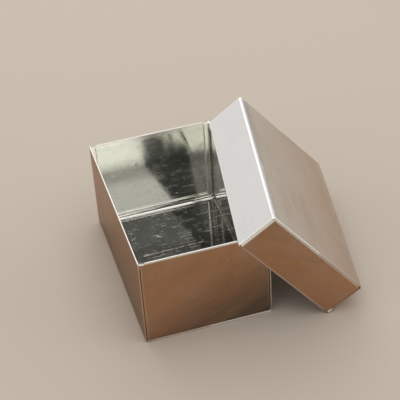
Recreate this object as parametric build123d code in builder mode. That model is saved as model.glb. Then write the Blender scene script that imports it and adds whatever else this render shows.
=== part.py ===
from build123d import *
import os
from math import asin, cos, degrees, radians, sin

# Stamp box of bright tinplate: an open box and the slip-over lid that leans on one of its corners.
# Each half is a sheet bent into a U, its wrapper, closed by two end plates hooked into its edges.
# Origin at the middle of the underside, +X to the right, +Y to the back, +Z up, in millimetres.

# The box, outside
box_width = 65.0
box_depth = 98.8
box_height = 50.5

# The lid's depth, and the play between the box's walls and what reaches inwards in the lid
lid_height = 22.4
lid_play = 0.1

# Sheet, and the air left between its layers
sheet = 0.22
pressed_gap = 0.03
hem_gap = 0.2
corner_fold_gap = 0.4

# Bends and hems
bend_radius = 1.4
hem_height = 2.8
hem_end_gap = 0.15
rim_drop = 0.9

# The hooked seam round each end plate
groove = 0.05
roll_radius = 0.85
roll_angle = 60.0
seam_width = 3.2
mitre_gap = 0.1

# How the lid leans: it is turned about the vertical, its rim crosses the right wall at a share
# of the box's depth, its front stands ahead of the box, and its rim lies a hair above the box's rims
lid_yaw = -9.4
crossing_share = 0.98
lid_overhang = 3.9
rest_gap = 0.05

# Widths that the folds come to
hem = 2 * sheet + hem_gap
corner_fold = 2 * sheet + corner_fold_gap
plate_edge = corner_fold + groove

# Radii at the middle of the sheet
hem_turn = (hem - sheet) / 2
corner_turn = (corner_fold - sheet) / 2
hook_turn = sheet + pressed_gap
roll_turn = roll_radius - sheet / 2

# How far the plate's soft roll leads in and down before its tight hook
roll_run = (roll_turn - hook_turn) * sin(radians(roll_angle))
roll_drop = (roll_turn - hook_turn) * (1 - cos(radians(roll_angle)))
seam_depth = 4 * sheet + 3 * pressed_gap + roll_drop

# The lid's outside clears the box by its own hems and seams
lid_width = box_width + 2 * (hem + lid_play)
lid_depth = box_depth + 2 * (seam_depth + lid_play)

# Depths of the seam's four layers at mid-thickness, counted from the face of the end plate
face_layer = sheet / 2
wrapper_return = face_layer + hook_turn
plate_return = wrapper_return + hook_turn + roll_drop
flange_layer = plate_return + hook_turn
wrapper_turn = (flange_layer - wrapper_return) / 2

# Where the folds begin, counted inwards from the outside of the wall
plate_bend = plate_edge + sheet / 2 + hook_turn
plate_hook = plate_bend + roll_run
wrapper_hook = seam_width - sheet / 2 - wrapper_turn

# Where the wall's own sheet ends and the fold at the corner begins
fold_start = corner_fold / 2

# The lid's lean follows from the box's height and the lid's width
lean = degrees(asin((box_height + rest_gap) / (lid_width - hem)))
rim_run = (crossing_share * box_depth + lid_overhang) / cos(radians(lid_yaw))
rim_end = (
    box_width / 2 + rim_run * sin(radians(lid_yaw)),
    -box_depth / 2 - lid_overhang,
    box_height + rest_gap + hem / 2,
)
on_the_table = Location()
leaning = (
    Pos(*rim_end)
    * Rot(0, 0, lid_yaw)
    * Rot(0, lean, 0)
    * Pos((lid_width - hem) / 2, lid_depth / 2, lid_height - hem / 2)
    * Rot(0, 180, 0)
)


def set_in(place, plane):
    """A plane given in the frame of one half of the box, as it lies in space."""
    return Plane(place * plane.location)


def edge_on(plane, start, heading, bends):
    """A folded strip seen edge-on: a line of runs and bends at mid-thickness, given its thickness."""
    with BuildSketch(plane, mode=Mode.PRIVATE) as strip:
        with BuildLine():
            at, facing = Vector(*start), Vector(*heading)
            for run, radius, turn in bends:
                if run:
                    straight = Line(at, at + facing * run)
                    at = straight @ 1
                if turn:
                    bend = JernArc(start=at, tangent=facing, radius=radius, arc_size=turn)
                    at, facing = bend @ 1, bend % 1
        trace(line_width=sheet)
    return strip.sketch


def bent_sheet(plane, start, heading, bends, length, trim=None):
    """Add a folded strip of some length, trimmed at one end where it meets its neighbour."""
    profile = edge_on(plane, start, heading, bends)
    strip = extrude(profile, amount=length, dir=plane.z_dir, mode=Mode.PRIVATE)
    if trim:
        strip = split(strip, bisect_by=trim, mode=Mode.PRIVATE)
    add(strip)


def bent_corner(place, width, depth, middle, start, heading, bends):
    """Add a folded strip that goes round a lower corner, about a middle in from wall and underside."""
    corner = Plane(origin=(-width / 2, -depth / 2, middle), x_dir=(1, 0, 0), z_dir=(0, 0, 1))
    hinge = set_in(place, Plane(origin=(middle - width / 2, 0, middle), z_dir=(0, -1, 0)))
    profile = edge_on(set_in(place, corner), start, heading, bends)
    revolve(profile, axis=Axis(hinge.origin, hinge.z_dir), revolution_arc=90)


def mitre(place, width, depth, side):
    """The plane that trims a seam at a lower corner, kept on the wall's side or the base's side."""
    corner = (-width / 2 - side * mitre_gap / 2, -depth / 2, side * mitre_gap / 2)
    return set_in(place, Plane(origin=corner, x_dir=(0, 1, 0), z_dir=(-side, 0, side)))


def edge_planes(place, width, depth, height, margin):
    """Planes across the wall's seam and the base's seam, each with its run and its mitre."""
    wall = Plane(origin=(-width / 2, -depth / 2, margin), x_dir=(1, 0, 0), z_dir=(0, 0, 1))
    base = Plane(origin=(0, -depth / 2, 0), x_dir=(0, 0, 1), z_dir=(-1, 0, 0))
    return [
        (set_in(place, wall), height - rim_drop - margin, mitre(place, width, depth, 1)),
        (set_in(place, base), width / 2 - margin, mitre(place, width, depth, -1)),
    ]


def draw_wrapper(place, width, depth, height):
    """A quarter of the wrapper, mirrored to the whole: wall, base, rim and seam edges."""
    leg = hem_height - hem / 2
    wall = height - hem / 2 - bend_radius
    half_base = width / 2 - bend_radius
    base_turn = bend_radius - sheet / 2
    across = set_in(place, Plane(origin=(-width / 2, 0, 0), x_dir=(1, 0, 0), z_dir=(0, -1, 0)))

    # Wall and base, short of the fold at the corner
    bent_sheet(
        across,
        (sheet / 2, height - hem / 2),
        (0, -1),
        [(wall, base_turn, 90), (half_base, 0, 0)],
        depth / 2 - fold_start,
    )
    # The rolled rim, right up to the corner
    bent_sheet(
        across,
        (sheet / 2, height - rim_drop),
        (0, 1),
        [(rim_drop - hem / 2, hem_turn, -180)],
        depth / 2,
    )
    # The hem's inner leg, short of the seam
    bent_sheet(
        across,
        (hem - sheet / 2, height - hem / 2),
        (0, -1),
        [(leg, 0, 0)],
        depth / 2 - seam_depth - hem_end_gap,
    )
    # The edges that hook the end plate: folded back at the corner, turned in and returned
    edge = (sheet / 2, fold_start)
    back = flange_layer - sheet - fold_start
    inwards = wrapper_hook - (corner_fold - sheet / 2 + sheet)
    returned = wrapper_hook - plate_hook
    for plane, run, trim in edge_planes(place, width, depth, height, bend_radius):
        bent_sheet(
            plane,
            edge,
            (0, -1),
            [
                (0, corner_turn, 180),
                (back, sheet, -90),
                (inwards, wrapper_turn, -180),
                (returned, 0, 0),
            ],
            run,
            trim,
        )
    # The fold alone goes on round the lower corner
    bent_corner(
        place, width, depth, bend_radius, edge, (0, -1), [(0, corner_turn, 180), (back, 0, 0)]
    )
    mirror(about=set_in(place, Plane.YZ))
    mirror(about=set_in(place, Plane.XZ))


def draw_end_plate(place, width, depth, height):
    """Half of an end plate, mirrored to the whole: face, hem and the hooks on three sides."""
    middle = (0, -depth / 2, 0)
    front = set_in(place, Plane(origin=middle, x_dir=(-1, 0, 0), z_dir=(0, 1, 0)))
    hook_side = width / 2 - plate_hook
    hem_side = width / 2 - seam_width - hem_end_gap
    rim = height - hem / 2
    with BuildSketch(front) as face:
        with BuildLine():
            Polyline(
                (0, plate_hook),
                (hook_side, plate_hook),
                (hook_side, height - rim_drop),
                (hem_side, height - rim_drop),
                (hem_side, rim),
                (0, rim),
                close=True,
            )
        make_face()
    extrude(face.sketch, amount=sheet, dir=front.z_dir)
    # The hem along the open edge
    bent_sheet(
        set_in(place, Plane(origin=middle, x_dir=(0, 1, 0), z_dir=(-1, 0, 0))),
        (sheet / 2, -rim),
        (0, -1),
        [(0, hem_turn, 180), (hem_height - hem / 2, 0, 0)],
        hem_side,
    )
    # The rolled edges, which go round the lower corners too
    bend = (plate_bend, plate_return)
    rolled = [(0, hook_turn, 180 - roll_angle), (0, roll_turn, roll_angle)]
    bent_corner(place, width, depth, plate_hook, bend, (-1, 0), rolled)
    for plane, run, trim in edge_planes(place, width, depth, height, plate_hook):
        bent_sheet(plane, bend, (-1, 0), rolled, run)
        # The returns that go behind the wrapper's own
        lap = [(wrapper_hook - plate_bend, 0, 0)]
        bent_sheet(plane, (wrapper_hook, plate_return), (-1, 0), lap, run, trim)
    mirror(about=set_in(place, Plane.YZ))


os.makedirs("parts", exist_ok=True)
turned_round = Rot(0, 0, 180)
box_size = (box_width, box_depth, box_height)
lid_size = (lid_width, lid_depth, lid_height)

with BuildPart() as body_wrapper:
    draw_wrapper(on_the_table, *box_size)
body_wrapper.part.label = "body_wrapper"
export_step(body_wrapper.part, "parts/body_wrapper.step")

with BuildPart() as body_front_end:
    draw_end_plate(on_the_table, *box_size)
body_front_end.part.label = "body_front_end"
export_step(body_front_end.part, "parts/body_front_end.step")

with BuildPart() as body_back_end:
    draw_end_plate(on_the_table * turned_round, *box_size)
body_back_end.part.label = "body_back_end"
export_step(body_back_end.part, "parts/body_back_end.step")

with BuildPart() as lid_wrapper:
    draw_wrapper(leaning, *lid_size)
lid_wrapper.part.label = "lid_wrapper"
export_step(lid_wrapper.part, "parts/lid_wrapper.step")

with BuildPart() as lid_front_end:
    draw_end_plate(leaning, *lid_size)
lid_front_end.part.label = "lid_front_end"
export_step(lid_front_end.part, "parts/lid_front_end.step")

with BuildPart() as lid_back_end:
    draw_end_plate(leaning * turned_round, *lid_size)
lid_back_end.part.label = "lid_back_end"
export_step(lid_back_end.part, "parts/lid_back_end.step")
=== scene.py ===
from math import asin, cos, degrees, pi, radians, sin
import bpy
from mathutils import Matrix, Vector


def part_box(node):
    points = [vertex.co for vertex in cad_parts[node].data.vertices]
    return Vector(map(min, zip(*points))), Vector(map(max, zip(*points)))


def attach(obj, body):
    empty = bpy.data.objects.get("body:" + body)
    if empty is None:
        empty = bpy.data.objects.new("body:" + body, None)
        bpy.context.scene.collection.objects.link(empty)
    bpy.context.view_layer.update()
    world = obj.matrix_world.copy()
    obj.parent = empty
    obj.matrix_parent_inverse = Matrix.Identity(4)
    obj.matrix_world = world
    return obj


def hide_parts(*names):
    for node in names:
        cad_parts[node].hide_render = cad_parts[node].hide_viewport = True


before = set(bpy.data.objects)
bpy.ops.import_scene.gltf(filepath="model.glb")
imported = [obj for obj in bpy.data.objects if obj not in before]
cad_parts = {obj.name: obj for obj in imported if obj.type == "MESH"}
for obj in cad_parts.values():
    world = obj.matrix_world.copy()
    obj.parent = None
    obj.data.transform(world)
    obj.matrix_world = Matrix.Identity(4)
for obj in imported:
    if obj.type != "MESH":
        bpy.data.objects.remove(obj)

from types import SimpleNamespace

import bmesh
import bpy
from bpy.props import FloatProperty, FloatVectorProperty, IntProperty, PointerProperty
from bpy.types import Operator, Panel, PropertyGroup
from mathutils import Matrix, Vector

bl_info = {
    "name": "Tinplate Stamp Box",
    "version": (1, 0, 0),
    "blender": (4, 5, 0),
    "location": "3D View > Sidebar > Stamp Box",
    "description": "Folds a stamp box and its leaning lid from bright tinplate and sets them on a floor",
    "category": "Mesh",
}

BOX_LOW, BOX_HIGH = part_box("body_wrapper")

# Points closer than this many metres count as one
NEAR = 1e-6

# How far past a bend the loop lies that keeps the panel beside it flat, in metres
GUARD = 0.00012

# Faces that meet at less than this are shaded as one curve
SMOOTH_ANGLE = radians(35.0)

# Millimetres in a metre, because the materials measure in millimetres
MM = 1000.0

# How far in from the corner the wrapper's edge turns back inside a seam, in millimetres
TURNED_EDGE = 2.75

# A sheet with more painted reflection than this also has its grazing reflections tinted tan, as painted
# reflection
MUCH_PAINTED_REFLECTION = 0.5

# How far the streaks of painted reflection on the outside lean over, seen from the front
REFLECTION_STREAK_LEAN = radians(28.0)

# A soft panel in the surroundings: where it lies, how wide it is and where its soft edge ends
PANEL_AT = Vector((0.33, -0.69, 0.64)).normalized()
PANEL_FULL = radians(18.0)
PANEL_END = radians(28.0)

# The point that both lamps are turned to, in metres
LIT_POINT = Vector((0.01, 0.0, 0.03))

# The rows of the camera's matrix, from the fit to the picture
CAMERA_PLACE = (
    (0.955501, 0.220747, -0.195674, -0.114221),
    (-0.290224, 0.584766, -0.757509, -0.489087),
    (-0.052794, 0.780590, 0.622810, 0.441478),
    (0.0, 0.0, 0.0, 1.0),
)


def length(name, description, default):
    """A length in metres."""
    return FloatProperty(
        name=name, description=description, default=default, unit="LENGTH", precision=5
    )


def angle(name, description, default):
    """An angle, given in degrees."""
    return FloatProperty(
        name=name, description=description, default=radians(default), unit="ROTATION"
    )


def amount(name, description, default, most=1.0):
    """A plain number from zero up."""
    return FloatProperty(name=name, description=description, default=default, min=0.0, max=most)


def colour(name, description, default):
    """A colour in linear values."""
    return FloatVectorProperty(
        name=name, description=description, default=default, size=3, min=0.0, max=1.0, subtype="COLOR"
    )


class SheetSizes(PropertyGroup):
    """The tinplate and the folds that hold it together."""

    thickness: length("Sheet", "Thickness of the tinplate", 0.00022)
    pressed_gap: length("Pressed gap", "Air between the layers of a pressed seam", 0.00003)
    hem_gap: length("Hem gap", "Air inside the rolled rim", 0.0002)
    corner_fold_gap: length("Corner fold gap", "Air inside the fold at an upright corner", 0.0004)
    bend_radius: length("Bend radius", "Outer radius of the lower bends", 0.0014)
    hem_height: length("Hem height", "How far the rolled rim reaches down inside", 0.0028)
    hem_end_gap: length("Hem end gap", "Room between a hem's end and the seam beside it", 0.00015)
    rim_drop: length("Rim drop", "How much lower an end plate's plain edge lies beside its hem", 0.0009)
    groove: length("Groove", "Width of the groove beside the corner fold", 0.00005)
    roll_radius: length("Roll radius", "Outer radius of an end plate's softly rolled edge", 0.00085)
    roll_angle: angle("Roll angle", "Turn of the soft roll before the tight hook", 60.0)
    seam_width: length("Seam width", "How far a seam reaches in from the corner", 0.0032)
    mitre_gap: length("Mitre gap", "Slit between two seams that meet at a lower corner", 0.0001)
    bend_steps: IntProperty(
        name="Bend steps", description="Facets in a quarter turn of a bend", default=8, min=2, max=24
    )


class BoxSizes(PropertyGroup):
    """The box, its lid and the way the lid leans."""

    width: length("Width", "Width of the box, outside", BOX_HIGH.x - BOX_LOW.x)
    depth: length("Depth", "Depth of the box, outside", BOX_HIGH.y - BOX_LOW.y)
    height: length("Height", "Height of the box to its rim", BOX_HIGH.z - BOX_LOW.z)
    lid_height: length("Lid height", "Height of the lid's walls", 0.0224)
    lid_play: length("Lid play", "Play between the box and what reaches inwards in the lid", 0.0001)
    lid_yaw: angle("Lid yaw", "Turn of the lid about the vertical", -9.4)
    crossing: amount("Crossing", "Where the lid's rim crosses the right wall, along the box", 0.98)
    lid_overhang: length("Lid overhang", "How far the lid's front stands ahead of the box", 0.0039)
    rest_gap: length("Rest gap", "Air between the lid's rim and the box's rims", 0.00005)


class TinFinish(PropertyGroup):
    """Colours and surface of the tinplate."""

    outside: colour("Outside", "Bright tin on the outside", (0.71, 0.70, 0.69))
    inside: colour("Inside", "Bright tin on the inside", (0.79, 0.80, 0.745))
    # Worn tin, and painted shade: darker than the walls, on the base inside the box
    base: colour("Inside base", "Worn tin on the base inside the box", (0.675, 0.67, 0.63))
    # Painted reflection: a warm tan laid on the outside in place of brown surroundings reflected in it
    painted_reflection_tone: colour("Patina", "Warm bloom on the outside", (0.47, 0.24, 0.112))
    # Painted reflection: a tan given to the reflections that graze the outside where the painted reflection
    # is strong
    edge: colour("Edge tint", "Tint of what grazes the bloomed outside", (0.68, 0.60, 0.53))
    # Rubbed tin, and painted highlight: this lighter tin brightens rims, seams, the plates' feet, the fillet
    # and a dent
    bare_and_highlight: colour("Bare edges", "Rubbed tin along the rims, seams and scratches", (0.90, 0.87, 0.82))
    # Real smudges, and also painted shade towards the foot, in the grooves, at the lower bends and in a band
    # on the base
    grime_and_shade: colour("Grime", "Smudges on the sheet", (0.13, 0.12, 0.105))
    roughness: amount("Roughness", "Roughness of the clean outside", 0.15)
    inside_roughness: amount("Inside roughness", "Roughness of the clean inside", 0.07)
    least_roughness: amount("Least roughness", "Roughness of the smoothest places", 0.03)
    inside_metal: amount("Inside metal", "How metallic the clean inside is", 0.93)
    waviness: length("Waviness", "Height of the slow waves in the flat panels", 0.00005)
    grain: length("Grain", "Height of the fine rolling grain", 0.0000012)
    scratch_depth: length("Scratch depth", "Depth of the fine scratches", 0.0000008)
    bow: amount("Bow", "Slope of the sheet that bows up along the middle, as a share", 0.038)
    crown: length("Crown", "How far the base and the lid's top fall off towards the bends", 0.0006)
    fillet: length("Fillet", "Height of the fillet along the seams at the foot of the ends", 0.0007)
    dent_depth: length("Dent depth", "Depth of the faint dent in the back wall", 0.00006)


class StudioLook(PropertyGroup):
    """Floor, light and camera."""

    floor: colour("Floor", "Colour of the plain floor", (0.67, 0.59, 0.50))
    floor_size: length("Floor size", "Side of the square floor", 8.0)
    surroundings: amount("Surroundings", "Brightness of the surroundings low down", 0.95)
    dimming: amount("Dimming", "How much darker the surroundings are high up", 0.75)
    panel: amount("Panel", "How much of the dimming a soft panel takes back", 0.62)
    flag: amount("Flag", "How much darker the surroundings are at a flag in front", 0.85)
    radiance: amount("Radiance", "Brightness of the two lamps", 1.05, 10.0)
    lamp_distance: length("Lamp distance", "Distance from the lamps to the box", 1.1)
    window_size: length("Window lamp", "Side of the square lamp behind the box", 0.95)
    overhead_size: length("Overhead lamp", "Side of the square lamp above the box", 1.1)
    focal_length: amount("Focal length", "Focal length of the camera in millimetres", 115.659, 500.0)


def measures():
    """The sizes that the folds come to, all in metres."""
    tin = bpy.context.scene.tin_sheet
    box = bpy.context.scene.tin_box
    m = SimpleNamespace(tin=tin, box=box, sheet=tin.thickness)
    m.hem = 2 * m.sheet + tin.hem_gap
    m.corner_fold = 2 * m.sheet + tin.corner_fold_gap
    m.plate_edge = m.corner_fold + tin.groove
    m.hook_turn = m.sheet + tin.pressed_gap
    m.roll_turn = tin.roll_radius - m.sheet / 2
    m.roll = degrees(tin.roll_angle)
    roll_run = (m.roll_turn - m.hook_turn) * sin(tin.roll_angle)
    roll_drop = (m.roll_turn - m.hook_turn) * (1 - cos(tin.roll_angle))
    m.seam_depth = 4 * m.sheet + 3 * tin.pressed_gap + roll_drop
    m.lid_width = box.width + 2 * (m.hem + box.lid_play)
    m.lid_depth = box.depth + 2 * (m.seam_depth + box.lid_play)
    m.hem_turn = (m.hem - m.sheet) / 2
    m.corner_turn = (m.corner_fold - m.sheet) / 2
    m.face_layer = m.sheet / 2
    m.flange_layer = m.face_layer + 3 * m.hook_turn + roll_drop
    m.wrapper_turn = m.hook_turn + roll_drop / 2
    m.plate_bend = m.plate_edge + m.sheet / 2 + m.hook_turn
    m.plate_hook = m.plate_bend + roll_run
    m.wrapper_hook = tin.seam_width - m.sheet / 2 - m.wrapper_turn
    m.fold_start = m.corner_fold / 2
    return m


def leaning(m):
    """Where the lid's panel lies: its frame has the open side up, as the box's frame has."""
    box = m.box
    lean = asin((box.height + box.rest_gap) / (m.lid_width - m.hem))
    run = (box.crossing * box.depth + box.lid_overhang) / cos(box.lid_yaw)
    rim_end = Vector((
        box.width / 2 + run * sin(box.lid_yaw),
        -box.depth / 2 - box.lid_overhang,
        box.height + box.rest_gap + m.hem / 2,
    ))
    to_panel = Vector(((m.lid_width - m.hem) / 2, m.lid_depth / 2, box.lid_height - m.hem / 2))
    return (
        Matrix.Translation(rim_end)
        @ Matrix.Rotation(box.lid_yaw, 4, "Z")
        @ Matrix.Rotation(lean, 4, "Y")
        @ Matrix.Translation(to_panel)
        @ Matrix.Rotation(pi, 4, "Y")
    )


def halves(m):
    """The size and the place of the box, which stands on the table, and of the lid."""
    return {
        "box": ((m.box.width, m.box.depth, m.box.height), Matrix.Identity(4)),
        "lid": ((m.lid_width, m.lid_depth, m.box.lid_height), leaning(m)),
    }


def select_nothing():
    """Deselect every object."""
    for chosen in list(bpy.context.selected_objects):
        chosen.select_set(False)


def on(value, mark):
    """Whether a coordinate lies on a mark."""
    return abs(value - mark) < NEAR


class Sheet:
    """A piece of tinplate at mid-thickness, cut and folded in edit mode."""

    def __init__(self, name, low, high, upright=False):
        select_nothing()
        middle = (Vector(low) + Vector(high)) / 2
        turned = (pi / 2, 0, 0) if upright else (0, 0, 0)
        bpy.ops.mesh.primitive_plane_add(size=1, location=middle, rotation=turned)
        self.piece = bpy.context.object
        self.piece.name = self.piece.data.name = name
        wide = high[0] - low[0]
        tall = high[2] - low[2] if upright else high[1] - low[1]
        self.piece.scale = (wide, tall, 1)
        bpy.ops.object.transform_apply(location=True, rotation=True, scale=True)
        bpy.ops.object.mode_set(mode="EDIT")

    def pick(self, test, faces=False):
        """Select the edges, or the faces, whose corners all pass the test."""
        bpy.ops.mesh.select_mode(type="FACE" if faces else "EDGE")
        bpy.ops.mesh.select_all(action="DESELECT")
        shape = bmesh.from_edit_mesh(self.piece.data)
        found = 0
        for part in shape.faces if faces else shape.edges:
            if all(test(corner.co) for corner in part.verts):
                part.select_set(True)
                found += 1
        bmesh.update_edit_mesh(self.piece.data)
        if not found:
            raise RuntimeError(f"nothing to select on {self.piece.name}")

    def run(self, step):
        """Carry the selected edges on, straight."""
        bpy.ops.mesh.extrude_region_move(TRANSFORM_OT_translate={"value": step})

    def fold(self, at, facing, along, bends):
        """Carry the selected edges on through runs and bends about their own direction."""
        at, facing, along = Vector(at), Vector(facing), Vector(along)
        steps = bpy.context.scene.tin_sheet.bend_steps
        for run, radius, turn in bends:
            if run:
                self.run(facing * run)
                at = at + facing * run
            if turn:
                side = 1 if turn > 0 else -1
                centre = at + along.cross(facing) * radius * side
                bpy.ops.mesh.spin(
                    steps=round(steps * abs(turn) / 90), angle=-radians(turn), center=centre, axis=along
                )
                turned = Matrix.Rotation(radians(turn), 3, along)
                at = centre + turned @ (at - centre)
                facing = turned @ facing

    def cut(self, point, normal, clear=True):
        """Cut the selected faces along a plane, and clear the side that the normal points to."""
        bpy.ops.mesh.bisect(plane_co=point, plane_no=normal, clear_outer=clear, threshold=NEAR / 10)

    def score(self, point, normal):
        """Add an edge loop along a plane, so that a flat panel shades flat up to a bend."""
        bpy.ops.mesh.select_mode(type="FACE")
        bpy.ops.mesh.select_all(action="SELECT")
        self.cut(point, normal, clear=False)

    def finish(self, mirrored, outer, place, body, node, looks):
        """Mirror the sheet to the whole, give it its thickness, and lay it in its place."""
        piece = self.piece
        bpy.ops.object.mode_set(mode="OBJECT")
        mirror = piece.modifiers.new("other sides", "MIRROR")
        mirror.use_axis = mirrored
        mirror.merge_threshold = NEAR
        bpy.ops.object.modifier_apply(modifier=mirror.name)
        bpy.ops.object.mode_set(mode="EDIT")
        bpy.ops.mesh.select_all(action="SELECT")
        bpy.ops.mesh.remove_doubles(threshold=NEAR)
        bpy.ops.mesh.normals_make_consistent(inside=False)
        bpy.ops.object.mode_set(mode="OBJECT")
        widest = max(piece.data.polygons, key=lambda face: face.area)
        if widest.normal.dot(Vector(outer(widest.center))) < 0:
            bpy.ops.object.mode_set(mode="EDIT")
            bpy.ops.mesh.flip_normals()
            bpy.ops.object.mode_set(mode="OBJECT")
        wall = piece.modifiers.new("sheet", "SOLIDIFY")
        wall.thickness = bpy.context.scene.tin_sheet.thickness
        wall.offset = 0
        wall.use_even_offset = True
        wall.material_offset = 1
        for look in looks:
            piece.data.materials.append(look)
        bpy.ops.object.modifier_apply(modifier=wall.name)
        bpy.ops.object.shade_smooth_by_angle(angle=SMOOTH_ANGLE)
        piece.matrix_world = place
        bpy.ops.object.transform_apply(location=True, rotation=True, scale=True)
        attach(piece, body)
        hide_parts(node)


def mitre(m, width, depth, side):
    """A point and a normal for the cut that ends the wall's seam (side 1) or the base's (side -1)."""
    gap = m.tin.mitre_gap / 2
    return (-width / 2 - side * gap, -depth / 2, side * gap), (side, 0, -side)


def fold_wrapper(node, m, size, place, body, looks):
    """Fold a quarter of a wrapper: base, bend, wall, rolled rim and the edges that hook the end plate."""
    tin, sheet = m.tin, m.sheet
    width, depth, height = size
    slit = tin.mitre_gap
    side = width / 2
    front = -(depth / 2 - m.fold_start)
    margin = side - tin.bend_radius
    plain_rim = height - tin.rim_drop
    # Where the base and the wall lie at mid-thickness
    base = sheet / 2
    wall = -side + sheet / 2
    part = Sheet(f"tin_{node}", (-margin, front, base), (0, 0, base))

    # Up the bend and the wall, over the rim and down inside
    part.pick(lambda p: on(p.x, -margin))
    part.fold((-margin, 0, base), (-1, 0, 0), (0, 1, 0), [
        (0, tin.bend_radius - sheet / 2, 90),
        (plain_rim - tin.bend_radius - slit, 0, 0),
        (slit, 0, 0),
        (tin.rim_drop - m.hem / 2, m.hem_turn, 180),
        (tin.hem_height - m.hem / 2, 0, 0),
    ])
    # The hem's inner leg stops short of the seam
    leg = -side + m.hem - sheet / 2
    part.pick(lambda p: on(p.x, leg) and p.z > height - tin.hem_height - NEAR, faces=True)
    part.cut((0, -(depth / 2 - m.seam_depth - tin.hem_end_gap), 0), (0, -1, 0))
    # The rolled rim reaches right up to the corner
    part.pick(lambda p: on(p.y, front) and p.z > plain_rim - NEAR)
    part.run(Vector((0, -m.fold_start, 0)))
    # The wall's and the base's edges: folded back at the corner, turned in and returned
    hook = [
        (0, m.corner_turn, 180),
        (m.flange_layer - sheet - m.fold_start, sheet, -90),
        (m.wrapper_hook - (m.corner_fold - sheet / 2 + sheet), m.wrapper_turn, -180),
        (m.wrapper_hook - m.plate_hook, 0, 0),
    ]
    low, high = tin.bend_radius - NEAR, plain_rim - slit + NEAR
    part.pick(lambda p: on(p.y, front) and on(p.x, wall) and low < p.z < high)
    part.fold((wall, front, 0), (0, -1, 0), (0, 0, 1), hook)
    part.pick(lambda p: on(p.y, front) and on(p.z, base) and p.x > -margin - NEAR)
    part.fold((0, front, base), (0, -1, 0), (-1, 0, 0), hook)
    # The fold alone goes on round the lower corner
    back = -depth / 2 + m.flange_layer - sheet + NEAR
    inner = wall + 2 * m.corner_turn + NEAR
    bend = [(0, tin.bend_radius - sheet / 2, -90)]
    part.pick(lambda p: on(p.z, tin.bend_radius) and p.x < inner and p.y < back)
    part.fold((wall, 0, tin.bend_radius), (0, 0, -1), (0, 1, 0), bend)
    # The seams are mitred at the lower corner
    behind = -depth / 2 + m.seam_depth + NEAR
    inside = -side + tin.seam_width + NEAR
    above = tin.seam_width + NEAR
    part.pick(lambda p: p.y < behind and p.x < inside and low < p.z < high, faces=True)
    part.cut(*mitre(m, width, depth, 1))
    part.pick(lambda p: p.y < behind and p.x > -margin - NEAR and p.z < above, faces=True)
    part.cut(*mitre(m, width, depth, -1))
    # Loops that keep the flat panels flat beside the bends
    part.score((0, front + GUARD, 0), (0, 1, 0))
    part.score((-margin + GUARD, 0, 0), (1, 0, 0))
    part.score((0, 0, tin.bend_radius + GUARD), (0, 0, 1))
    part.score((0, 0, height - m.hem / 2 - GUARD), (0, 0, 1))

    def outer(p):
        """Which way is out: down from the base, and to its own side from a wall."""
        return (p.x, 0, -1) if p.z < sheet + NEAR else (p.x, 0, 0)

    part.finish((True, True, False), outer, place, body, node, looks)


def fold_end_plate(node, m, size, place, body, looks):
    """Fold half of an end plate: face, hem along the open edge and the hooks on the other sides."""
    tin, sheet = m.tin, m.sheet
    width, depth, height = size
    face = -depth / 2 + m.face_layer
    hook_side = width / 2 - m.plate_hook
    hem_side = width / 2 - tin.seam_width - tin.hem_end_gap
    rim = height - m.hem / 2
    plain_rim = height - tin.rim_drop
    part = Sheet(f"tin_{node}", (-hem_side, face, m.plate_hook), (0, face, plain_rim), upright=True)

    # Out to the side, up to the hem, over it and down inside
    hem = [(0, m.hem_turn, 180), (tin.hem_height - m.hem / 2, 0, 0)]
    part.pick(lambda p: on(p.x, -hem_side))
    part.run(Vector((hem_side - hook_side, 0, 0)))
    part.pick(lambda p: on(p.z, plain_rim) and p.x > -hem_side - NEAR)
    part.run(Vector((0, 0, rim - plain_rim)))
    part.fold((0, face, rim), (0, 0, 1), (-1, 0, 0), hem)
    # The rolled edges and the returns that go behind the wrapper's own
    hook = [
        (0, m.roll_turn, -m.roll),
        (0, m.hook_turn, m.roll - 180),
        (m.wrapper_hook - m.plate_bend, 0, 0),
    ]
    part.pick(lambda p: on(p.x, -hook_side))
    part.fold((-hook_side, face, 0), (-1, 0, 0), (0, 0, 1), hook)
    part.pick(lambda p: on(p.z, m.plate_hook) and on(p.y, face))
    part.fold((0, face, m.plate_hook), (0, 0, -1), (-1, 0, 0), hook)
    # The roll goes round the lower corner too
    part.pick(lambda p: on(p.z, m.plate_hook) and p.x < -hook_side + NEAR)
    part.fold((-width / 2, 0, m.plate_hook), (0, 0, -1), (0, 1, 0), [(0, m.plate_hook, -90)])
    # The returns are mitred there
    lap = -depth / 2 + m.flange_layer - m.hook_turn
    inner = -width / 2 + tin.seam_width
    low, high = m.plate_hook - NEAR, plain_rim + NEAR
    part.pick(lambda p: on(p.y, lap) and p.x < inner and low < p.z < high, faces=True)
    part.cut(*mitre(m, width, depth, 1))
    part.pick(lambda p: on(p.y, lap) and p.x > -hook_side - NEAR and p.z < tin.seam_width, faces=True)
    part.cut(*mitre(m, width, depth, -1))
    # Loops that keep the face flat beside the bends
    part.score((-hook_side + GUARD, 0, 0), (1, 0, 0))
    part.score((0, 0, m.plate_hook + GUARD), (0, 0, 1))
    part.score((0, 0, rim - GUARD), (0, 0, 1))
    part.finish((True, False, False), lambda p: (0, -1, 0), place, body, node, looks)


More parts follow.
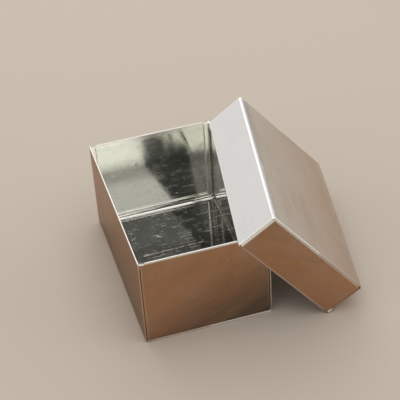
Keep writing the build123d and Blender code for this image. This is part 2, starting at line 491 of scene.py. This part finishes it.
class Shade:
    """One value in a material. Arithmetic on it adds Math nodes."""

    def __init__(self, tree, socket=None):
        self.tree, self.socket = tree, socket

    def node(self, kind, settings=None, sockets=None, output=0):
        """Add any node: its settings are set first, then the values or links of its sockets."""
        new = self.tree.nodes.new(kind)
        for key, value in (settings or {}).items():
            setattr(new, key, value)
        for key, value in (sockets or {}).items():
            if isinstance(value, Shade):
                self.tree.links.new(value.socket, new.inputs[key])
            else:
                new.inputs[key].default_value = value
        return Shade(self.tree, new.outputs[output])

    def maths(self, operation, *values):
        """Add a Math node on the given values."""
        return self.node("ShaderNodeMath", {"operation": operation}, dict(enumerate(values)))

    def __add__(self, other):
        return self.maths("ADD", self, other)

    def __radd__(self, other):
        return self.maths("ADD", other, self)

    def __sub__(self, other):
        return self.maths("SUBTRACT", self, other)

    def __rsub__(self, other):
        return self.maths("SUBTRACT", other, self)

    def __mul__(self, other):
        return self.maths("MULTIPLY", self, other)

    def __abs__(self):
        return self.maths("ABSOLUTE", self)

    def root(self):
        return self.maths("SQRT", self)

    def most(self, other):
        return self.maths("MAXIMUM", self, other)

    def swing(self):
        """Noise counted from its middle, so that it goes both ways."""
        return self - 0.5

    def ease(self, low, high):
        """0 below low, 1 above high and smooth between."""
        return self.node(
            "ShaderNodeMapRange",
            {"interpolation_type": "SMOOTHSTEP"},
            {0: self, 1: low, 2: high, 3: 0.0, 4: 1.0},
        )

    def fade(self, low, high):
        """1 below low, 0 above high and smooth between."""
        return 1.0 - self.ease(low, high)

    def towards(self, edge, start, full):
        """0 until it comes within one distance of an edge, 1 within a lesser one."""
        return self.ease(edge - start, edge - full)

    def scaled(self, factors):
        """A vector times three factors."""
        return self.node("ShaderNodeVectorMath", {"operation": "MULTIPLY"}, {0: self, 1: factors})

    def moved(self, step):
        """A vector and a step added up."""
        return self.node("ShaderNodeVectorMath", {"operation": "ADD"}, {0: self, 1: step})

    def dot(self, other):
        """The cosine between this direction and another."""
        return self.node(
            "ShaderNodeVectorMath", {"operation": "DOT_PRODUCT"}, {0: self, 1: other}, output="Value"
        )

    def noise(self, factors, detail=2.0, rough=0.5, bend=0.0):
        """Noise on this vector, stretched by three factors."""
        return self.node("ShaderNodeTexNoise", sockets={
            "Vector": self.scaled(factors),
            "Scale": 1.0,
            "Detail": detail,
            "Roughness": rough,
            "Distortion": bend,
        })

    def tinted(self, other, mask):
        """This colour, going over to another by a mask: 6, 7 and output 2 are the colour sockets."""
        return self.node("ShaderNodeMix", {"data_type": "RGBA"}, {0: mask, 6: self, 7: other}, output=2)

    def feed(self, socket):
        """Link this value to a socket of the shader."""
        self.tree.links.new(self.socket, socket)


def scored(at, factors, shift, width, gaps):
    """Fine wavy lines that break off here and there, as a mask."""
    moved = at.moved(shift)
    line = abs(moved.noise(factors, detail=2.5, rough=0.55, bend=0.5).swing()).fade(width * 0.3, width)
    return line * moved.noise(gaps, detail=1.5).ease(0.50, 0.58)


class Tinplate:
    """The look of one side of a sheet, worked out in millimetres in the piece's own frame."""

    def __init__(self, name, place, size, plate, inside):
        self.look = bpy.context.scene.tin_finish
        self.plate, self.inside = plate, inside
        self.width, self.depth, self.height = (value * MM for value in size)
        self.material = bpy.data.materials.new(name)
        self.material.use_nodes = True
        self.seed = Shade(self.material.node_tree)
        local = self.seed.node("ShaderNodeMapping", {"vector_type": "TEXTURE"}, {
            "Vector": self.seed.node("ShaderNodeTexCoord", output="Object"),
            "Location": place.to_translation(),
            "Rotation": place.to_euler(),
        })
        self.at = local.scaled((MM, MM, MM))
        self.across, self.back, self.up = (
            self.seed.node("ShaderNodeSeparateXYZ", sockets={0: self.at}, output=axis) for axis in range(3)
        )
        # How far in from the plate's face or from the wrapper's wall
        self.inset = self.back + self.depth / 2 if plate else self.width / 2 - abs(self.across)
        # 0 on the side of low x, 1 on the side of high x
        self.high_side = self.across.ease(-1.0, 1.0)
        self.add_patterns()

    def paint(self, tone):
        """A plain colour as a value that can be mixed."""
        held = self.seed.node("ShaderNodeRGB")
        held.socket.default_value = (*tone, 1.0)
        return held

    def add_patterns(self):
        """Rolling streaks, clouds, smudges, fine scratches and slow waves, as every sheet has them."""
        at, look = self.at, self.look
        # The streaks run across a plate, and from front to back on a wrapper
        drawn_out = (0.3, 3.0, 3.0) if self.plate else (3.0, 0.3, 3.0)
        self.streak = at.noise(drawn_out, detail=3.0, rough=0.6)
        self.cloud = at.noise((0.035, 0.03, 0.04), detail=3.0, rough=0.55, bend=0.6)
        self.smudge = at.noise((0.11, 0.09, 0.12), detail=4.0, rough=0.6, bend=1.2).ease(0.56, 0.72)
        hairlines = scored(
            at, factors=(0.5, 0.05, 0.4), shift=(3.0, 5.0, 7.0), width=0.008, gaps=(0.05, 0.07, 0.06)
        )
        self.scratch = hairlines * 0.25
        wave = at.noise((0.028, 0.022, 0.034), detail=1.0, rough=0.35)
        waves = wave * (look.waviness * MM) + self.streak * (look.grain * MM)
        self.relief = waves - self.scratch * (look.scratch_depth * MM)

    def rub_and_highlight_edges(self, rim=1.0, low_side=1.0, high_side=1.0):
        """Rub the edges bare and paint them lighter as highlight: the rim with its inner leg, and where the
        seams lie.
        """
        side, end = self.width / 2, self.depth / 2
        sides = low_side + self.high_side * (high_side - low_side)
        leg = self.up.towards(self.height, 3.6, 3.3) * self.inset.ease(0.25, 0.4)
        bare_and_highlight = (self.up.towards(self.height, 1.3, 0.6) * rim).most(leg)
        if self.plate:
            foot = self.up.fade(1.0, 1.4)
            bare_and_highlight = bare_and_highlight.most(abs(self.across).towards(side, 2.3, 1.2) * sides).most(foot)
        elif self.inside:
            on_base = abs(self.up - TURNED_EDGE).fade(0.3, 0.6)
            on_wall = abs(abs(self.across) - side + TURNED_EDGE).fade(0.3, 0.6)
            bare_and_highlight = bare_and_highlight.most(on_base.most(on_wall) * abs(self.back).towards(end, 1.7, 1.3))
        else:
            bare_and_highlight = bare_and_highlight.most(abs(self.back).towards(end, 1.2, 0.5) * sides)
        self.bare_and_highlight = bare_and_highlight

    def paint_reflection_and_shade(self, warm, foot, drift, unmarked):
        """Painted tan reflection on the outside, stronger towards low x, left off high up at high x, and
        painted shade at the foot.
        """
        look, across, up = self.look, self.across, self.up
        side, end = self.width / 2, self.depth / 2
        slanted = self.at.node("ShaderNodeMapping", sockets={
            "Vector": self.at,
            "Rotation": (0.0, REFLECTION_STREAK_LEAN, 0.0),
        })
        narrow = (0.022, 0.15, 0.70) if self.plate else (0.70, 0.022, 0.15)
        broad = (0.016, 0.05, 0.075) if self.plate else (0.075, 0.014, 0.05)
        sheen = slanted.noise(narrow, detail=4.0, rough=0.6).swing()
        drape = slanted.noise(broad, detail=2.0).swing()
        # How much of the painted reflection and its streaks is kept: less high up at high x
        kept = 1.0 - up.ease(1.0, 2.5) * self.high_side * unmarked
        low_edge = across.fade(-side + 0.7, -side + 1.4)

        # Painted reflection: a tan that drifts stronger towards low x, is mottled, and is full on the edge at
        # low x, where it darkens the fold as painted shade
        reflection_drift = (0.5 - across * (1.0 / self.width)) * drift
        mottled = self.cloud.swing() * 0.3 - sheen * 0.2
        painted_reflection = ((1.0 - self.bare_and_highlight) * (warm + reflection_drift + mottled) * kept).most(low_edge)
        # Painted shade grows towards the foot, on a plate more so at high x, and streaks of painted
        # reflection go through it
        lean = 0.4 if self.plate else 0.0
        painted_shade_and_streaks = (up - across * lean).fade(-self.height * 0.45, self.height * 0.72) * foot
        streaks = sheen * (0.7 if self.plate else 0.5) + drape * 0.7
        painted_shade_and_streaks = painted_shade_and_streaks + streaks * kept
        if self.plate:
            # Painted shade in the groove beside the corner fold
            groove = abs(across).towards(side, 1.35, 1.05)
            painted_shade_and_streaks = painted_shade_and_streaks + groove * 0.45
        else:
            # Painted shade at the lower bend, and on the lid's fold at the low corner
            lower_bend = self.inset.fade(0.8, 1.8) * up.fade(0.8, 1.8)
            low_corner = low_edge * abs(self.back).towards(end, 1.5, 1.0)
            painted_shade_and_streaks = (painted_shade_and_streaks + lower_bend * 0.17).most(low_corner * drift * 1.2)
            crown = self.inset.fade(0.0, 7.0)
            self.relief = self.relief - crown * crown * (look.crown * MM)
            # Along the bend of the lid's top the painted reflection is left off, so the bend stays bright
            bend_clear_of_reflection = crown * up.fade(1.2, 2.4) * self.high_side
            painted_reflection = painted_reflection * (1.0 - bend_clear_of_reflection)
        tint = self.paint(look.outside).tinted(self.paint(look.painted_reflection_tone), painted_reflection)
        self.tint = tint.tinted(self.paint(look.grime_and_shade), (1.0 - self.bare_and_highlight) * painted_shade_and_streaks)

    def wear_and_shade_inside(self):
        """Bright walls, a base worn duller and painted darker as shade, and a sheet that bows up softly along
        the middle.
        """
        look = self.look
        self.on_base = self.up.fade(0.3, 1.6)
        # The base is painted darker than the walls: worn tin and painted shade
        self.tint = self.paint(look.inside).tinted(self.paint(look.base), self.on_base)
        # Far from the middle this is the distance to it, and it turns over softly within a few millimetres
        turn_over = 3.0
        from_middle = (self.back * self.back + turn_over * turn_over).root()
        self.relief = self.relief - from_middle * look.bow

    def wear_and_shade_base(self, sheet, seam_depth):
        """A fillet along the seams at the foot of the end walls, painted lighter as highlight, and scratches
        and a band of painted shade on the base.
        """
        at, back, on_base = self.at, self.back, self.on_base
        to_seam = self.depth / 2 - seam_depth * MM - abs(back)
        fillet = to_seam.most(self.up - sheet * MM).fade(0.0, 1.6)
        uneven = 0.6 + self.cloud
        self.relief = self.relief + fillet * uneven * (self.look.fillet * MM)
        # Painted highlight along the fillet
        self.bare_and_highlight = self.bare_and_highlight.most(fillet * 0.9)

        # Many fine scratches and fewer coarse ones run across, and one long one behind the middle
        fine = scored(
            at, factors=(0.024, 0.62, 0.0), shift=(0.0, 0.0, 0.0), width=0.016, gaps=(0.22, 0.14, 0.0)
        )
        coarse = scored(
            at, factors=(0.024, 0.30, 0.0), shift=(37.0, 11.0, 0.0), width=0.012, gaps=(0.12, 0.20, 0.0)
        )
        wavering = 13.0 - self.cloud.swing() * 3.0
        unbroken = at.noise((0.36, 0.036, 0.36)).ease(0.40, 0.50)
        long = abs(back - wavering).fade(0.10, 0.34) * abs(self.across).fade(15.0, 18.0) * unbroken
        scratches = (fine * 0.55).most(coarse * 0.8).most(long)
        self.scratch = self.scratch.most(scratches * on_base)
        # Painted shade: a dark band across the base behind the middle
        painted_shade_band = on_base * back.ease(4.0, 10.0) * back.fade(12.0, 26.0)
        self.tint = self.tint.tinted(self.paint(self.look.grime_and_shade), painted_shade_band * 0.6)

    def dent(self, across, up):
        """Press a small upright spot, which catches the light, and paint it lighter as a highlight."""
        wide, tall = self.across - across, self.up - up
        spot = (wide * wide * 2.0 + tall * tall * 0.6).fade(0.1, 1.6)
        self.relief = self.relief + spot * (self.look.dent_depth * MM)
        # Painted highlight on the dent
        self.bare_and_highlight = self.bare_and_highlight.most(spot)

    def joined(self, tinted_edge=False):
        """The material, with tint, roughness, metal and relief fed to its shader."""
        look = self.look
        sockets = self.material.node_tree.nodes["Principled BSDF"].inputs
        tint = self.tint.tinted(self.paint(look.grime_and_shade), self.smudge * 0.05)
        # Rubbed tin and painted highlight, and scratches, in the lighter tin
        tint = tint.tinted(self.paint(look.bare_and_highlight), self.bare_and_highlight.most(self.scratch) * 0.9)
        tint.feed(sockets["Base Color"])

        unmarked = look.inside_roughness if self.inside else look.roughness
        grained = self.streak.swing() * 0.12 + self.cloud.swing() * 0.10
        marked = self.smudge * 0.10 + self.scratch * 0.45
        rough = unmarked + grained + marked
        if self.inside:
            (look.inside_metal - self.scratch * 0.6).feed(sockets["Metallic"])
        else:
            below_hem = self.up.fade(self.height - 4.5, self.height - 3.8)
            rough = rough + self.bare_and_highlight * below_hem * 0.2
            sockets["Metallic"].default_value = 1.0
        if tinted_edge:
            # Painted reflection: the grazing reflections are tinted tan
            sockets["Specular Tint"].default_value = (*look.edge, 1.0)
        rough.most(look.least_roughness).feed(sockets["Roughness"])
        bump = {"Height": self.relief, "Distance": 1 / MM, "Strength": 1.0}
        self.seed.node("ShaderNodeBump", sockets=bump).feed(sockets["Normal"])
        return self.material


def outside_look(node, place, size, plate, rubbed_and_highlit, warm=0.9, foot=0.0, drift=0.0, unmarked=0.0):
    """Bright tin under a painted tan reflection and painted shade, with the rim and the two sides rubbed bare
    and painted lighter as highlight by the given shares.
    """
    tin = Tinplate(f"tin_{node}_outside", place, size, plate, inside=False)
    tin.rub_and_highlight_edges(*rubbed_and_highlit)
    tin.paint_reflection_and_shade(warm, foot, drift, unmarked)
    return tin.joined(tinted_edge=warm > MUCH_PAINTED_REFLECTION)


def inside_look(node, place, size, plate, m, dent=None):
    """Brighter, smoother tin: a dent is given by how far across and how far up it lies, in millimetres."""
    tin = Tinplate(f"tin_{node}_inside", place, size, plate, inside=True)
    tin.rub_and_highlight_edges()
    tin.wear_and_shade_inside()
    if not plate:
        tin.wear_and_shade_base(m.sheet, m.seam_depth)
    if dent:
        tin.dent(*dent)
    return tin.joined()


class STAMPBOX_OT_wrappers(Operator):
    """Fold the wrappers of the box and of the lid."""

    bl_idname = "stampbox.wrappers"
    bl_label = "Wrappers"

    def execute(self, context):
        m = measures()
        for node, body, rubbing_and_painted_light in (
            # Per wrapper: shares rubbed bare and painted lighter as highlight, painted tan reflection and
            # painted shade
            ("body_wrapper", "box", dict(rubbed_and_highlit=(1.0, 0.25, 0.5), warm=1.1, foot=0.58)),
            ("lid_wrapper", "lid", dict(rubbed_and_highlit=(0.3, 0.1, 1.0), warm=0.04, drift=0.56, unmarked=0.85)),
        ):
            size, place = halves(m)[body]
            looks = [
                outside_look(node, place, size, plate=False, **rubbing_and_painted_light),
                inside_look(node, place, size, plate=False, m=m),
            ]
            fold_wrapper(node, m, size, place, body, looks)
        return {"FINISHED"}


class STAMPBOX_OT_end_plates(Operator):
    """Fold the end plates of the box and of the lid."""

    bl_idname = "stampbox.end_plates"
    bl_label = "End plates"

    def execute(self, context):
        m = measures()
        as_it_is, turned_round = Matrix.Identity(4), Matrix.Rotation(pi, 4, "Z")
        # Each row: node, body, turn, painted shade at the foot, the shares rubbed bare and painted lighter as
        # highlight, and a dent
        for node, body, turn, foot, rubbed_and_highlit, dent in (
            ("body_front_end", "box", as_it_is, 1.02, (1.0, 0.1, 0.15), None),
            ("body_back_end", "box", turned_round, 1.02, (1.0, 0.15, 0.1), (9.4, 33.0)),
            ("lid_front_end", "lid", as_it_is, 0.25, (0.2, 0.1, 1.0), None),
            ("lid_back_end", "lid", turned_round, 0.25, (0.2, 1.0, 0.1), None),
        ):
            size, place = halves(m)[body]
            place = place @ turn
            looks = [
                outside_look(node, place, size, plate=True, rubbed_and_highlit=rubbed_and_highlit, foot=foot),
                inside_look(node, place, size, plate=True, m=m, dent=dent),
            ]
            fold_end_plate(node, m, size, place, body, looks)
        return {"FINISHED"}


def lay_floor(studio):
    """Lay a plain matt floor."""
    select_nothing()
    bpy.ops.mesh.primitive_plane_add(size=studio.floor_size)
    floor = bpy.context.object
    floor.name = "floor"
    paper = bpy.data.materials.new("floor")
    paper.use_nodes = True
    sockets = paper.node_tree.nodes["Principled BSDF"].inputs
    sockets["Base Color"].default_value = (*studio.floor, 1.0)
    sockets["Roughness"].default_value = 0.9
    sockets["Specular IOR Level"].default_value = 0.1
    floor.data.materials.append(paper)


def light_surroundings(studio):
    """Pale surroundings, dimmer high up but for a soft panel, and with a dark flag in front."""
    scene = bpy.context.scene
    scene.world = scene.world or bpy.data.worlds.new("studio")
    scene.world.use_nodes = True
    tree = scene.world.node_tree
    sky = tree.nodes["Background"]
    seed = Shade(tree)
    facing = seed.node("ShaderNodeTexCoord", output="Generated")
    rise = seed.node("ShaderNodeSeparateXYZ", sockets={0: facing}, output="Z")
    ahead = 0.0 - seed.node("ShaderNodeSeparateXYZ", sockets={0: facing}, output="Y")
    flag = ahead.ease(0.55, 0.70) * rise.ease(0.28, 0.38) * rise.fade(0.593, 0.648)
    to_panel = facing.dot(PANEL_AT)
    panel = to_panel.ease(cos(PANEL_END), cos(PANEL_FULL))
    dimmed = rise.ease(0.56, 0.69) * (studio.dimming - panel * studio.panel)
    (studio.surroundings - dimmed - flag * studio.flag).feed(sky.inputs["Strength"])
    sky.inputs["Color"].default_value = (1.0, 0.99, 0.97, 1.0)


def hang_lamps(studio):
    """Hang two soft square lamps: one behind the box, like a window, and one above it."""
    for name, towards, size in (
        ("window", (0.06, 0.74, 0.67), studio.window_size),
        ("overhead", (0.05, -0.10, 1.00), studio.overhead_size),
    ):
        towards = Vector(towards).normalized()
        key = bpy.data.lights.new(name, "AREA")
        key.shape = "SQUARE"
        key.size = size
        key.energy = studio.radiance * pi * size ** 2
        lamp = bpy.data.objects.new(name, key)
        bpy.context.scene.collection.objects.link(lamp)
        lamp.location = LIT_POINT + towards * studio.lamp_distance
        lamp.rotation_euler = towards.to_track_quat("Z", "Y").to_euler()
        lamp.visible_camera = False


def place_camera(studio):
    """Place the camera where the picture was taken from."""
    scene = bpy.context.scene
    lens = bpy.data.cameras.new("camera")
    lens.lens = studio.focal_length
    lens.sensor_width = 36.0
    lens.clip_start, lens.clip_end = 0.01, 50.0
    camera = bpy.data.objects.new("camera", lens)
    scene.collection.objects.link(camera)
    camera.matrix_world = Matrix(CAMERA_PLACE)
    scene.camera = camera
    scene.view_settings.view_transform = "Standard"


class STAMPBOX_OT_stage(Operator):
    """Lay the floor, set the soft light and place the camera."""

    bl_idname = "stampbox.stage"
    bl_label = "Stage"

    def execute(self, context):
        studio = context.scene.tin_studio
        lay_floor(studio)
        light_surroundings(studio)
        hang_lamps(studio)
        place_camera(studio)
        return {"FINISHED"}


class STAMPBOX_PT_panel(Panel):
    """Sizes, finish and steps of the stamp box."""

    bl_idname = "STAMPBOX_PT_panel"
    bl_label = "Stamp Box"
    bl_space_type = "VIEW_3D"
    bl_region_type = "UI"
    bl_category = "Stamp Box"

    def draw(self, context):
        layout = self.layout
        for group in GROUPS:
            values = getattr(context.scene, group)
            column = layout.column(align=True)
            for key in values.__annotations__:
                column.prop(values, key)
        for step in ("stampbox.wrappers", "stampbox.end_plates", "stampbox.stage"):
            layout.operator(step)


GROUPS = {
    "tin_sheet": SheetSizes,
    "tin_box": BoxSizes,
    "tin_finish": TinFinish,
    "tin_studio": StudioLook,
}
CLASSES = (
    *GROUPS.values(),
    STAMPBOX_OT_wrappers,
    STAMPBOX_OT_end_plates,
    STAMPBOX_OT_stage,
    STAMPBOX_PT_panel,
)


def register():
    """Make the groups, the operators and the panel known, and hang the groups on the scene."""
    for entry in CLASSES:
        bpy.utils.register_class(entry)
    for key, group in GROUPS.items():
        setattr(bpy.types.Scene, key, PointerProperty(type=group))


def unregister():
    """Undo what register does."""
    for key in GROUPS:
        delattr(bpy.types.Scene, key)
    for entry in reversed(CLASSES):
        bpy.utils.unregister_class(entry)


def main():
    """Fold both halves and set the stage."""
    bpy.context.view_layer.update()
    register()
    bpy.ops.stampbox.wrappers()
    bpy.ops.stampbox.end_plates()
    bpy.ops.stampbox.stage()


if __name__ == "__main__":
    main()
